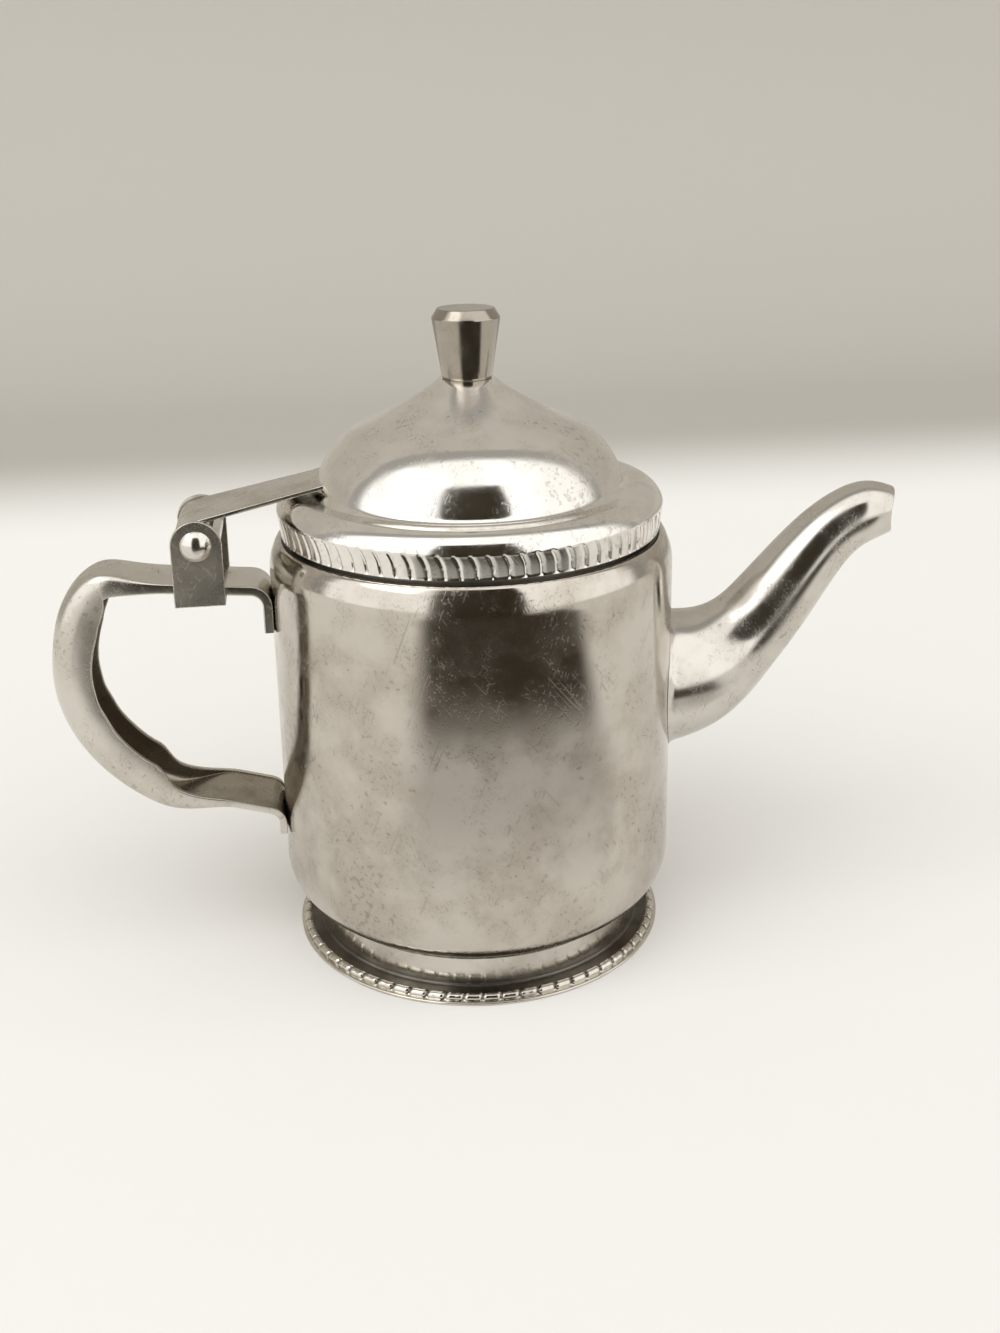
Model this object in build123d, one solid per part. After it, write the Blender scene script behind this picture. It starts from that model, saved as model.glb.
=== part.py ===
from build123d import *
from math import atan2, cos, degrees, pi, radians, sin, sqrt, tan
import os

# Creamer with a hinged lid: a spun pot on a beaded foot, a curved spout, a pressed strap handle
# and a domed lid on a riveted hinge. Millimetres, +Z up, +X towards the spout, handle at -X.
# The origin is on the pot's axis at table height.

# Pot: one spun sheet, its wall turned over at the top into a crest and an inner gallery
sheet = 0.7
pot_radius = 36.0
pot_floor_z = 6.7
pot_corner_radius = 9.0
wall_top_z = 71.0
shoulder_radius = 9.1
shoulder_turn = 33.0
crest_radius = 0.95
crest_drop = 0.6
gallery_fillet = 0.6
gallery_shelf = 1.685
mouth_lip_radius = 0.9
mouth_lip_drop = 1.2

# Foot: a collar under the pot, flared to a beaded rim that stands on the table
collar_inset = 5.9
collar_wall = 0.9
collar_flare = 0.5
flange_z = 1.35
rim_inset = 1.7
rim_height = 0.55
bead_inset = 1.35
bead_radius = 0.78
bead_sides = 8
bead_count = 64
bead_notch_depth = 0.34
bead_notch_slant = 18.0

# Spout: a tapered tube, soldered over a round hole in the pot's wall
spout_wall = 0.8
spout_hole_radius = 9.5
spout_bury = 3.2
spout_root_z = 45.4
spout_root_radius = 12.8
spout_root_angle = 0.6
tip_reach = 43.3
tip_z = 76.0
tip_radius = 3.95
tip_angle = 6.0
tip_cut_radius = 5.9
tip_cut_reach = 46.8
tip_cut_drop = 0.4
# Stations between root and tip: reach beyond the wall, height, outside radius, slope in degrees
spout_stations = [
    (6.2, 47.4, 11.4, 22.6),
    (13.9, 52.1, 8.6, 40.0),
    (20.1, 58.8, 7.4, 51.0),
    (27.0, 67.6, 6.4, 49.0),
    (34.5, 74.3, 5.7, 27.6),
]

# Handle: one strip, its edges turned into a channel round the loop and left flat at the wall
strip = 1.1
strip_corner = 0.3
top_strip_drop = 1.9
top_strip_slope = 5.0
top_strip_width = 12.0
top_strip_depth = 1.7
top_tab_length = 8.4
low_strip_z = 25.3
low_strip_slope = 16.0
low_strip_width = 13.8
low_strip_depth = 1.3
low_tab_length = 3.4
tab_bend_radius = 2.2
tab_bury = 0.3
channel_width = 10.8
channel_depth = 7.3
channel_corner = 4.0
channel_start = 0.2
channel_end = 0.24
loop_steps = 22
top_strip_reach = 17.0
low_strip_reach = 8.5
# Outer face of the loop, from the crown round to the foot: reach beyond the wall, height
loop_points = [
    (24.3, 72.0),
    (29.0, 72.85),
    (34.3, 69.6),
    (38.2, 60.7),
    (38.9, 51.75),
    (35.8, 41.3),
    (29.0, 32.4),
    (20.7, 27.5),
    (13.5, 27.8),
]

# Hinge: a strap bent up round the top strip, a shouldered rivet and the lid's curled arm
pin_reach = 11.75
pin_lift = 8.05
barrel_radius = 3.1
rivet_radius = 1.6
rivet_head_radius = 2.65
rivet_head_height = 1.4
ear_radius = 4.3
ear_inside = 16.8
ear_thickness = 1.1
strap_thickness = 1.0
arm_sheet = 0.8
arm_slope = 12.4
arm_end_width = 13.6
curl_turn = 300.0
pin_clearance = 0.05
arm_side_clearance = 0.3

# Lid: a spun dome with an ogee to the knob's seat and a gadrooned rim over the pot's crest
rim_gap = 0.8
skirt_overlap = 0.815
skirt_flare = 0.6
lid_rim_height = 4.1
lid_bead_width = 3.6
# Where the bead is fullest: share of its width in from the rim, share of its height above the rim
lid_bead_crown = (0.35, 0.72)
dome_inset = 7.2
dome_rise = 8.6
dome_fillet = 1.5
ogee_radius = 18.9
ogee_rise = 18.2
ogee_hollow = 0.5
lid_height = 26.2
seat_radius = 4.9
rib_count = 80
rib_notch_depth = 0.4
rib_slant = 32.0

# Bezel: the band inside the lid that drops into the gallery
bezel_sheet = 0.6
bezel_clearance = 0.75
bezel_floor_clearance = 0.3

# Knob, held by a screw from inside the lid
knob_height = 12.0
knob_foot_radius = 4.3
knob_radius = 5.95
knob_chamfer = 1.0
knob_chamfer_height = 1.6
screw_radius = 1.5
screw_head_radius = 2.8
screw_head_height = 1.6
screw_grip = 6.5
screw_hole_clearance = 0.1
thread_clearance = 0.02


# A spun sheet: the outline is its outer face, drawn from the axis outwards as (radius, height)
def spin_sheet(outline):
    section = make_face(offset(Wire(outline.edges()), amount=sheet, side=Side.RIGHT).edges())
    return revolve(Plane.XZ * section, Axis.Z)


# The solid inside an outline that starts on the axis, closed back to the axis at its end
def spin_solid(outline):
    wire = Wire(outline.edges())
    start, end = wire @ 0, wire @ 1
    closing = Polyline(end, (0, end.Y), start)
    return revolve(Plane.XZ * make_face(wire.edges() + closing.edges()), Axis.Z)


# A square bar along X, standing on its edge, that cuts a notch of the given depth
def notch_bar(depth, length):
    return Rot(45, 0, 0) * Box(length, depth * sqrt(2), depth * sqrt(2))


# Pot outline, outer face: floor, corner, wall, shoulder, crest, gallery and mouth lip
with BuildLine() as pot_outline:
    floor = Line((0, pot_floor_z), (pot_radius - pot_corner_radius, pot_floor_z))
    corner = JernArc(floor @ 1, floor % 1, pot_corner_radius, 90)
    wall = Line(corner @ 1, (pot_radius, wall_top_z))
    shoulder = JernArc(wall @ 1, wall % 1, shoulder_radius, shoulder_turn)
    crest = JernArc(shoulder @ 1, shoulder % 1, crest_radius, 180 - shoulder_turn)
    drop = Line(crest @ 1, crest @ 1 - Vector(0, crest_drop))
    fillet_in = JernArc(drop @ 1, drop % 1, gallery_fillet, -90)
    gallery = Line(fillet_in @ 1, fillet_in @ 1 - Vector(gallery_shelf, 0))
    lip = JernArc(gallery @ 1, gallery % 1, mouth_lip_radius, 90)
    lip_edge = Line(lip @ 1, lip @ 1 - Vector(0, mouth_lip_drop))

gallery_radius = (crest @ 1).X
gallery_z = (gallery @ 1).Y
crest_z = crest.bounding_box().max.Y

with BuildLine() as pot_envelope_outline:
    add(floor)
    add(corner)
    add(wall)

pot_envelope = spin_solid(pot_envelope_outline)
spout_hole = Pos(0, 0, spout_root_z) * Rot(0, 90, 0) * Cylinder(
    spout_hole_radius, pot_radius * 2, align=(Align.CENTER, Align.CENTER, Align.MIN)
)
body_shell = spin_sheet(pot_outline) - spout_hole


# Foot: collar and rim in one spun section, with notches cut between the beads
collar_radius = pot_radius - collar_inset
rim_radius = pot_radius - rim_inset
bead_ring_radius = rim_radius - bead_inset


def foot_section():
    top = pot_floor_z + pot_corner_radius
    base = collar_radius + collar_flare
    with BuildLine() as line:
        Polyline(
            (collar_radius - collar_wall, top),
            (collar_radius, top),
            (collar_radius, flange_z + collar_flare),
            (base, flange_z),
            (bead_ring_radius, flange_z),
            (bead_ring_radius, rim_height),
            (rim_radius, rim_height),
            (rim_radius, 0),
            (rim_radius - rim_height - bead_radius * 2, 0),
            (rim_radius - rim_height - bead_radius * 2, flange_z - collar_wall),
            (collar_radius - collar_wall, flange_z - collar_wall + collar_flare),
            close=True,
        )
    return make_face(line.edges())


bead_centre_z = rim_height + bead_radius / 2
bead_top_z = bead_centre_z + bead_radius * cos(pi / bead_sides)
bead_section = Pos(bead_ring_radius, bead_centre_z) * RegularPolygon(
    bead_radius, bead_sides, rotation=180 / bead_sides
)
foot_plain = revolve(Plane.XZ * foot_section(), Axis.Z) + revolve(Plane.XZ * bead_section, Axis.Z)
bead_notch = Pos(bead_ring_radius, 0, bead_top_z) * Rot(0, 0, -bead_notch_slant) * notch_bar(
    bead_notch_depth, bead_radius * 3
)
foot_ring = foot_plain - PolarLocations(0, bead_count) * bead_notch - pot_envelope


# Spout: circles square to the curved centre line, lofted, bored and fitted to the pot's wall
def spout_loft(inset):
    root = (-spout_bury, spout_root_z, spout_root_radius, spout_root_angle)
    tip = (tip_reach, tip_z, tip_radius, tip_angle)
    sections = []
    for reach, height, radius, slope in [root, *spout_stations, tip]:
        direction = (cos(radians(slope)), 0, sin(radians(slope)))
        plane = Plane((pot_radius + reach, 0, height), x_dir=(0, 1, 0), z_dir=direction)
        sections.append(plane * Circle(radius - inset))
    return loft(sections)


tip_cutter = Pos(pot_radius + tip_cut_reach, 0, tip_z - tip_cut_drop) * Rot(90, 0, 0) * Cylinder(
    tip_cut_radius, tip_radius * 4
)
spout = spout_loft(0) - spout_loft(spout_wall) - pot_envelope - tip_cutter


# Section of the handle's strip, x across it and y into the loop, its edges turned in by depth
def strip_section(width, depth, corner):
    inner = max(corner - strip, strip_corner / 2)
    half, half_in = width / 2, width / 2 - strip
    bow, bow_in = corner * (1 - cos(pi / 4)), inner * (1 - cos(pi / 4))
    with BuildLine() as line:
        Line((-half, depth), (-half, corner))
        ThreePointArc((-half, corner), (bow - half, bow), (corner - half, 0))
        Line((corner - half, 0), (half - corner, 0))
        ThreePointArc((half - corner, 0), (half - bow, bow), (half, corner))
        Line((half, corner), (half, depth))
        Line((half, depth), (half_in, depth))
        Line((half_in, depth), (half_in, strip + inner))
        ThreePointArc(
            (half_in, strip + inner), (half_in - bow_in, strip + bow_in), (half_in - inner, strip)
        )
        Line((half_in - inner, strip), (inner - half_in, strip))
        ThreePointArc(
            (inner - half_in, strip), (bow_in - half_in, strip + bow_in), (-half_in, strip + inner)
        )
        Line((-half_in, strip + inner), (-half_in, depth))
        Line((-half_in, depth), (-half, depth))
    return make_face(line.edges())


# Height of a strip's outer face at a reach beyond the wall
top_strip_z = wall_top_z - top_strip_drop


def top_face_z(reach):
    return top_strip_z + reach * tan(radians(top_strip_slope))


def low_face_z(reach):
    return low_strip_z + reach * tan(radians(low_strip_slope))


# A flat end of the strip, swept along the wall and round the bend of its tab
def strip_end(points, bend, width, depth):
    path = Plane.XZ * FilletPolyline(*points, radius=bend)
    start = Plane(path @ 0, x_dir=(0, 1, 0), z_dir=path % 0)
    return sweep(start * strip_section(width, depth, strip_corner), path)


def top_end():
    wall_x = -pot_radius + tab_bury
    points = [
        (wall_x, top_strip_z - top_tab_length),
        (wall_x, top_face_z(-tab_bury)),
        (-pot_radius - top_strip_reach, top_face_z(top_strip_reach)),
    ]
    return strip_end(points, tab_bend_radius + top_strip_depth, top_strip_width, top_strip_depth)


def low_end():
    outer_x = -pot_radius + tab_bury - low_strip_depth
    points = [
        (-pot_radius - low_strip_reach, low_face_z(low_strip_reach)),
        (outer_x, low_face_z(low_strip_depth - tab_bury)),
        (outer_x, low_strip_z - low_tab_length),
    ]
    return strip_end(points, tab_bend_radius, low_strip_width, low_strip_depth)


# How deep the channel is pressed, from 0 at the flat ends to 1, by the share of the way round
def channel_share(along):
    rise = min(along / channel_start, (1 - along) / channel_end, 1)
    return rise * rise * (3 - 2 * rise)


def handle_loop():
    start = (-pot_radius - top_strip_reach, top_face_z(top_strip_reach))
    end = (-pot_radius - low_strip_reach, low_face_z(low_strip_reach))
    back = [(-pot_radius - reach, height) for reach, height in loop_points]
    leaving = (-cos(radians(top_strip_slope)), sin(radians(top_strip_slope)))
    arriving = (cos(radians(low_strip_slope)), -sin(radians(low_strip_slope)))
    path = Plane.XZ * Spline(start, *back, end, tangents=[leaving, arriving])
    sections = []
    for step in range(loop_steps + 1):
        along = step / loop_steps
        share = channel_share(along)
        flat_width = top_strip_width + (low_strip_width - top_strip_width) * along
        flat_depth = top_strip_depth + (low_strip_depth - top_strip_depth) * along
        width = flat_width + (channel_width - flat_width) * share
        depth = flat_depth + (channel_depth - flat_depth) * share
        corner = strip_corner + (channel_corner - strip_corner) * share
        plane = Plane(path @ along, x_dir=(0, 1, 0), z_dir=path % along)
        sections.append(plane * strip_section(width, depth, corner))
    return loft(sections, ruled=True)


handle = handle_loop() + top_end() + low_end() - pot_envelope


# Hinge strap: two ears and a floor that closes under the handle's top strip
pin_x = -pot_radius - pin_reach
pin_z = top_face_z(pin_reach) + pin_lift
strip_height = top_strip_depth / cos(radians(top_strip_slope))
strap_floor_z = top_face_z(pin_reach) - strip_height - strap_thickness
ear_outside = ear_inside + 2 * ear_thickness


def pin_cylinder(radius, length):
    return Pos(pin_x, 0, pin_z) * Rot(90, 0, 0) * Cylinder(radius, length)


def side_plate(outline, width):
    return extrude(Plane.XZ * make_face(outline.edges()), width / 2, both=True)


def strap_solid():
    left, right = pin_x - ear_radius, pin_x + ear_radius
    far_left, far_right = left - ear_radius, right + ear_radius
    with BuildLine() as ear:
        Polyline((left, pin_z), (left, strap_floor_z), (right, strap_floor_z), (right, pin_z))
        ThreePointArc((right, pin_z), (pin_x, pin_z + ear_radius), (left, pin_z))
    with BuildLine() as room:
        Polyline(
            (far_left, top_face_z(-far_left - pot_radius) - strip_height),
            (far_right, top_face_z(-far_right - pot_radius) - strip_height),
            (far_right, pin_z + ear_radius * 2),
            (far_left, pin_z + ear_radius * 2),
            close=True,
        )
    ears = side_plate(ear, ear_outside) - side_plate(room, ear_inside)
    return ears - pin_cylinder(rivet_radius, ear_outside * 2)


hinge_strap = strap_solid()


# Rivet: a thick barrel between the ears, thinner ends through them and domed heads, in half section
def rivet_solid():
    inside, outside = ear_inside / 2, ear_outside / 2
    crown = outside + rivet_head_height
    dome = (rivet_head_radius**2 + rivet_head_height**2) / (2 * rivet_head_height)
    half_way = (rivet_head_radius / 2, crown - dome + sqrt(dome**2 - rivet_head_radius**2 / 4))
    with BuildLine() as line:
        Polyline((0, 0), (barrel_radius, 0), (barrel_radius, inside), (rivet_radius, inside))
        Polyline((rivet_radius, inside), (rivet_radius, outside), (rivet_head_radius, outside))
        ThreePointArc((rivet_head_radius, outside), half_way, (0, crown))
        Line((0, crown), (0, 0))
    half = revolve(Plane.XZ * make_face(line.edges()), Axis.Z)
    return Pos(pin_x, 0, pin_z) * Rot(90, 0, 0) * (half + Rot(180, 0, 0) * half)


hinge_rivet = rivet_solid()

# Lid outline, outer face: knob seat, ogee, dome, ledge, bead and skirt
lid_base_z = crest_z + rim_gap
lid_skirt_radius = gallery_radius + skirt_overlap
lid_rim_radius = lid_skirt_radius + skirt_flare
dome_radius = lid_rim_radius - dome_inset
rim_z = lid_base_z + lid_rim_height
seat_z = lid_base_z + lid_height
waist_radius = (seat_radius + ogee_radius) / 2
waist_z = lid_base_z + (lid_height + ogee_rise) / 2 - ogee_hollow
with BuildLine() as lid_outline:
    seat = Line((0, seat_z), (seat_radius, seat_z))
    ogee = ThreePointArc(
        seat @ 1, (waist_radius, waist_z), (ogee_radius, lid_base_z + ogee_rise)
    )
    dome = TangentArc(ogee @ 1, (dome_radius, lid_base_z + dome_rise), tangent=ogee % 1)
    foot_turn = -degrees(atan2((dome % 1).Y, (dome % 1).X))
    dome_foot = JernArc(dome @ 1, dome % 1, dome_fillet, foot_turn)
    ledge_z = (dome_foot @ 1).Y
    ledge = Line(dome_foot @ 1, (lid_rim_radius - lid_bead_width, ledge_z))
    crown_in, crown_up = lid_bead_crown
    crown = (lid_rim_radius - lid_bead_width * crown_in, rim_z + (ledge_z - rim_z) * crown_up)
    bead = ThreePointArc(ledge @ 1, crown, (lid_rim_radius, rim_z))
    skirt = Line(bead @ 1, (lid_skirt_radius, lid_base_z))

lid_plain = spin_sheet(lid_outline)
lid_envelope = spin_solid(lid_outline)

# Gadroons: slanted grooves all round the skirt, and a screw hole under the knob
skirt_lean = degrees(atan2(lid_rim_radius - lid_skirt_radius, lid_rim_height))
rib_notch = (
    Pos((lid_rim_radius + lid_skirt_radius) / 2, 0, (lid_base_z + rim_z) / 2)
    * Rot(rib_slant, 0, 0)
    * Rot(0, skirt_lean - 90, 0)
    * notch_bar(rib_notch_depth, lid_rim_height)
)
screw_hole = Pos(0, 0, seat_z) * Cylinder(screw_radius + screw_hole_clearance, sheet * 4)
lid_shell = lid_plain - PolarLocations(0, rib_count) * rib_notch - screw_hole

# Bezel: a band from the lid's underside down into the pot's gallery
bezel_radius = gallery_radius - bezel_clearance
bezel_z = gallery_z + bezel_floor_clearance
bezel_band = Pos(0, 0, bezel_z) * (
    Cylinder(bezel_radius, ledge_z - bezel_z, align=(Align.CENTER, Align.CENTER, Align.MIN))
    - Cylinder(bezel_radius - bezel_sheet, ledge_z, align=(Align.CENTER, Align.CENTER, Align.MIN))
)
lid_bezel = (bezel_band - lid_plain).solids().sort_by(Axis.Z)[0]


# Lid arm: a strip curled round the rivet's barrel, running up to the side of the dome
def arm_solid():
    curl_radius = barrel_radius + pin_clearance
    tangent_angle = 90 + arm_slope
    run = (-pin_x - dome_radius / 2) / cos(radians(arm_slope))
    with BuildLine() as line:
        inside = CenterArc((pin_x, pin_z), curl_radius, tangent_angle, curl_turn)
        outside = CenterArc((pin_x, pin_z), curl_radius + arm_sheet, tangent_angle, curl_turn)
        underside = PolarLine(inside @ 0, run, arm_slope)
        top = PolarLine(outside @ 0, run, arm_slope)
        Line(inside @ 1, outside @ 1)
        Line(underside @ 1, top @ 1)
    curl_width = ear_inside - 2 * arm_side_clearance
    left, right = pin_x - curl_radius * 2, pin_x + curl_radius + arm_sheet
    plan = Polyline(
        (left, -curl_width / 2),
        (right, -curl_width / 2),
        (-dome_radius / 2, -arm_end_width / 2),
        (-dome_radius / 2, arm_end_width / 2),
        (right, curl_width / 2),
        (left, curl_width / 2),
        close=True,
    )
    taper = extrude(make_face(plan.edges()), seat_z)
    return (side_plate(line, curl_width) & taper) - lid_envelope


lid_arm = arm_solid()

# Knob: a turned grip with a chamfered top, held by a pan-head screw through the lid
knob_section = Polyline(
    (0, seat_z),
    (knob_foot_radius, seat_z),
    (knob_radius, seat_z + knob_height - knob_chamfer_height),
    (knob_radius - knob_chamfer, seat_z + knob_height),
    (0, seat_z + knob_height),
    close=True,
)
screw_bore = Pos(0, 0, seat_z) * Cylinder(
    screw_radius + thread_clearance, (screw_grip + screw_radius) * 2
)
knob = revolve(Plane.XZ * make_face(knob_section.edges()), Axis.Z) - screw_bore
screw_seat_z = seat_z - sheet
knob_screw = Pos(0, 0, screw_seat_z) * (
    Cylinder(screw_head_radius, screw_head_height, align=(Align.CENTER, Align.CENTER, Align.MAX))
    + Cylinder(screw_radius, sheet + screw_grip, align=(Align.CENTER, Align.CENTER, Align.MIN))
)

pieces = {
    "body_shell": body_shell,
    "foot_ring": foot_ring,
    "spout": spout,
    "handle": handle,
    "hinge_strap": hinge_strap,
    "hinge_rivet": hinge_rivet,
    "lid_arm": lid_arm,
    "lid_shell": lid_shell,
    "lid_bezel": lid_bezel,
    "knob": knob,
    "knob_screw": knob_screw,
}
os.makedirs("parts", exist_ok=True)
for name, piece in pieces.items():
    export_step(piece, f"parts/{name}.step")
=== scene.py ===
import bpy
import bmesh
from math import atan2, ceil, cos, degrees, exp, hypot, pi, radians, sin, sqrt, tan
from mathutils import Matrix, Vector, noise
import numpy as np


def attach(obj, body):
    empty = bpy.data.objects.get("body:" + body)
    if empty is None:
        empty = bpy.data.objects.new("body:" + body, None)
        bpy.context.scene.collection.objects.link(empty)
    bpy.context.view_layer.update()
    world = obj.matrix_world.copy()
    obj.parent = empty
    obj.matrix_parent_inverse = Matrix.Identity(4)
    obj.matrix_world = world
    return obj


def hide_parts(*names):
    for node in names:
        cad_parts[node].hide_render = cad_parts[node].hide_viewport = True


# Steel creamer with a hinged lid. The sizes of its pieces are millimetres in the frame's own axes:
# +Z up, +X towards the spout, handle at -X. Shaders and studio are measured in metres.
print("loading the frame")
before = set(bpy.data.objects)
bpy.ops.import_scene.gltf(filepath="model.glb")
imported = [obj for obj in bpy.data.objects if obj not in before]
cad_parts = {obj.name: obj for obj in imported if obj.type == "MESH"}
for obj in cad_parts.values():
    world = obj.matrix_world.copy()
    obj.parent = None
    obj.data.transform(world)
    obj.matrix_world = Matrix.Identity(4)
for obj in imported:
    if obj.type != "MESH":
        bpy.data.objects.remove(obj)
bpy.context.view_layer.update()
mm = 0.001


# The camera stands where the photograph was taken from
camera = {
    "place": (-27.57, -248.60, 148.05),
    "right": (0.99063, -0.13562, -0.01577),
    "up": (0.05700, 0.30582, 0.95038),
    "lens": 39.2,
    "shiftY": -0.0649,
}


def placeCamera():
    data = bpy.data.cameras.new("camera")
    data.lens = camera["lens"]
    data.shift_y = camera["shiftY"]
    data.clip_start = 0.01
    stand = bpy.data.objects.new("camera", data)
    bpy.context.scene.collection.objects.link(stand)
    right, up = Vector(camera["right"]).normalized(), Vector(camera["up"]).normalized()
    turn = Matrix((right, up, right.cross(up))).transposed().to_4x4()
    stand.matrix_world = Matrix.Translation(Vector(camera["place"]) * mm) @ turn
    bpy.context.scene.camera = stand


placeCamera()


class Outline:
    # A spun outline drawn like a pen's path: radius, height and heading at every point
    def __init__(self, radius, height, heading):
        self.points = [(radius, height, radians(heading))]

    def run(self, length, pieces=1):
        radius, height, heading = self.points[-1]
        for k in range(1, pieces + 1):
            step = length * k / pieces
            self.points.append((radius + step * cos(heading), height + step * sin(heading), heading))
        return self

    def arc(self, size, turn, step=6):
        radius, height, heading = self.points[-1]
        side = 1 if turn > 0 else -1
        middle = (radius - side * size * sin(heading), height + side * size * cos(heading))
        pieces = max(2, ceil(abs(turn) / step))
        for k in range(1, pieces + 1):
            angle = heading + radians(turn) * k / pieces
            self.points.append(
                (middle[0] + side * size * sin(angle), middle[1] - side * size * cos(angle), angle)
            )
        return self

    # An arc that leaves along the heading and ends at the point
    def to(self, radius, height, step=3):
        atRadius, atHeight, heading = self.points[-1]
        chord = hypot(radius - atRadius, height - atHeight)
        half = atan2(height - atHeight, radius - atRadius) - heading
        half = (half + pi) % (2 * pi) - pi
        return self.arc(chord / 2 / abs(sin(half)), degrees(half) * 2, step)

    def line(self, offset=0):
        return [(r - offset * sin(a), z + offset * cos(a)) for r, z, a in self.points]


# Turns an outline of (radius, height) about the axis. An outline clear of the axis is a closed loop.
def lathe(outline, segments, warp=None):
    points, rings, faces = [], [], []
    for row, (radius, height) in enumerate(outline):
        if radius < 1e-6:
            rings.append([len(points)])
            points.append((0, 0, height))
            continue
        rings.append(list(range(len(points), len(points) + segments)))
        for k in range(segments):
            angle = 2 * pi * k / segments
            r, z = warp(row, radius, height, angle) if warp else (radius, height)
            points.append((r * cos(angle), r * sin(angle), z))
    pairs = list(zip(rings, rings[1:]))
    if len(rings[0]) > 1:
        pairs.append((rings[-1], rings[0]))
    for one, two in pairs:
        for k in range(segments):
            n = (k + 1) % segments
            if len(one) == 1:
                faces.append((one[0], two[n], two[k]))
            elif len(two) == 1:
                faces.append((one[k], one[n], two[0]))
            else:
                faces.append((one[k], one[n], two[n], two[k]))
    return points, faces


# Faces between loops of equal length. The last loop joins the first, or both have a flat cap.
def skinLoops(loops, closed=False):
    size = len(loops[0])
    points = [p for loop in loops for p in loop]
    count = len(loops)
    faces = []
    for k in range(count if closed else count - 1):
        a, b = k * size, (k + 1) % count * size
        for j in range(size):
            n = (j + 1) % size
            faces.append((a + j, a + n, b + n, b + j))
    if not closed:
        faces.append(tuple(range(size - 1, -1, -1)))
        faces.append(tuple(range((count - 1) * size, count * size)))
    return points, faces


def applyModifiers(piece):
    graph = bpy.context.evaluated_depsgraph_get()
    mesh = bpy.data.meshes.new_from_object(piece.evaluated_get(graph))
    piece.modifiers.clear()
    piece.data = mesh


def smoothMesh(mesh, angle):
    work = bmesh.new()
    work.from_mesh(mesh)
    bmesh.ops.recalc_face_normals(work, faces=work.faces)
    work.to_mesh(mesh)
    work.free()
    mesh.shade_smooth()
    mesh.set_sharp_from_angle(angle=radians(angle))


# A finished piece of the pot or lid that stands for one CAD node
def addPiece(name, shape, body, node, angle=35, cutter=None, bevel=0):
    mesh = bpy.data.meshes.new(name)
    points, faces = shape
    mesh.from_pydata([(x * mm, y * mm, z * mm) for x, y, z in points], [], faces)
    piece = bpy.data.objects.new(name, mesh)
    bpy.context.scene.collection.objects.link(piece)
    smoothMesh(piece.data, angle)
    if cutter:
        cut = piece.modifiers.new("hole", "BOOLEAN")
        cut.object = cutter
        cut.solver = "EXACT"
        applyModifiers(piece)
        bpy.data.objects.remove(cutter)
    if bevel:
        edge = piece.modifiers.new("edge", "BEVEL")
        edge.width = bevel * mm
        edge.segments = 3
        edge.limit_method = "ANGLE"
        edge.angle_limit = radians(angle)
        applyModifiers(piece)
    smoothMesh(piece.data, angle)
    if bevel:
        # Flat faces stay flat beside their eased edges
        level = piece.modifiers.new("level", "WEIGHTED_NORMAL")
        level.keep_sharp = True
        applyModifiers(piece)
    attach(piece, body)
    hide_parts(node)
    return piece


# A copy of a CAD node's mesh with its sharp edges eased. Points within so many metres of each other
# are joined first, and so are faces within so many degrees.
def easedNode(name, node, body, bevel, angle=30, join=1e-6, flat=0.5):
    work = bmesh.new()
    work.from_mesh(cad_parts[node].data)
    bmesh.ops.remove_doubles(work, verts=work.verts, dist=join)
    bmesh.ops.dissolve_limit(work, angle_limit=radians(flat), verts=work.verts, edges=work.edges)
    points = [tuple(v.co / mm) for v in work.verts]
    faces = [tuple(v.index for v in f.verts) for f in work.faces]
    work.free()
    return addPiece(name, (points, faces), body, node, angle, bevel=bevel)


# From 0 to 1, slow at both ends
def eased(share):
    return share * share * (3 - 2 * share)


# From 0 to 1, changing slowly from place to place
def unevenness(x, y, z, size):
    return 0.5 + 0.5 * noise.noise(Vector((x, y, z)) / size)


# Pot: one spun sheet with a rolled crest, a gallery for the lid and a lip at the mouth
print("spinning the pot")
pot = {
    "radius": 36.0, "floor": 6.7, "corner": 9.0, "wallTop": 71.0, "sheet": 0.7,
    "shoulder": 9.1, "shoulderTurn": 33, "crest": 0.95, "crestDrop": 0.6,
    "galleryFillet": 0.6, "galleryShelf": 1.685, "lip": 0.9, "lipDrop": 1.2,
    "segments": 320, "wallRows": 64, "waver": 0.05, "waverSize": 26.0, "waverStretch": 0.8,
    "calmFrom": 4, "holeRadius": 9.5, "holeHeight": 45.4, "holeDepth": 40, "holeSides": 96,
    # Dents: direction round the pot in degrees, height, width and depth
    "dents": [
        (-112, 13.5, 2.4, 0.2), (-66, 30.0, 5.0, 0.06), (-131, 44.0, 6.0, 0.07), (-84, 24.0, 7.0, 0.07),
    ],
}


def potOutline():
    wall = pot["wallTop"] - pot["floor"] - pot["corner"]
    pen = Outline(0, pot["floor"], 0).run(pot["radius"] - pot["corner"], pieces=12)
    pen.arc(pot["corner"], 90, step=3).run(wall, pieces=pot["wallRows"])
    pen.arc(pot["shoulder"], pot["shoulderTurn"], step=1.5)
    pen.arc(pot["crest"], 180 - pot["shoulderTurn"], step=7).run(pot["crestDrop"])
    pen.arc(pot["galleryFillet"], -90, step=15).run(pot["galleryShelf"])
    return pen.arc(pot["lip"], 90, step=10).run(pot["lipDrop"])


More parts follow.
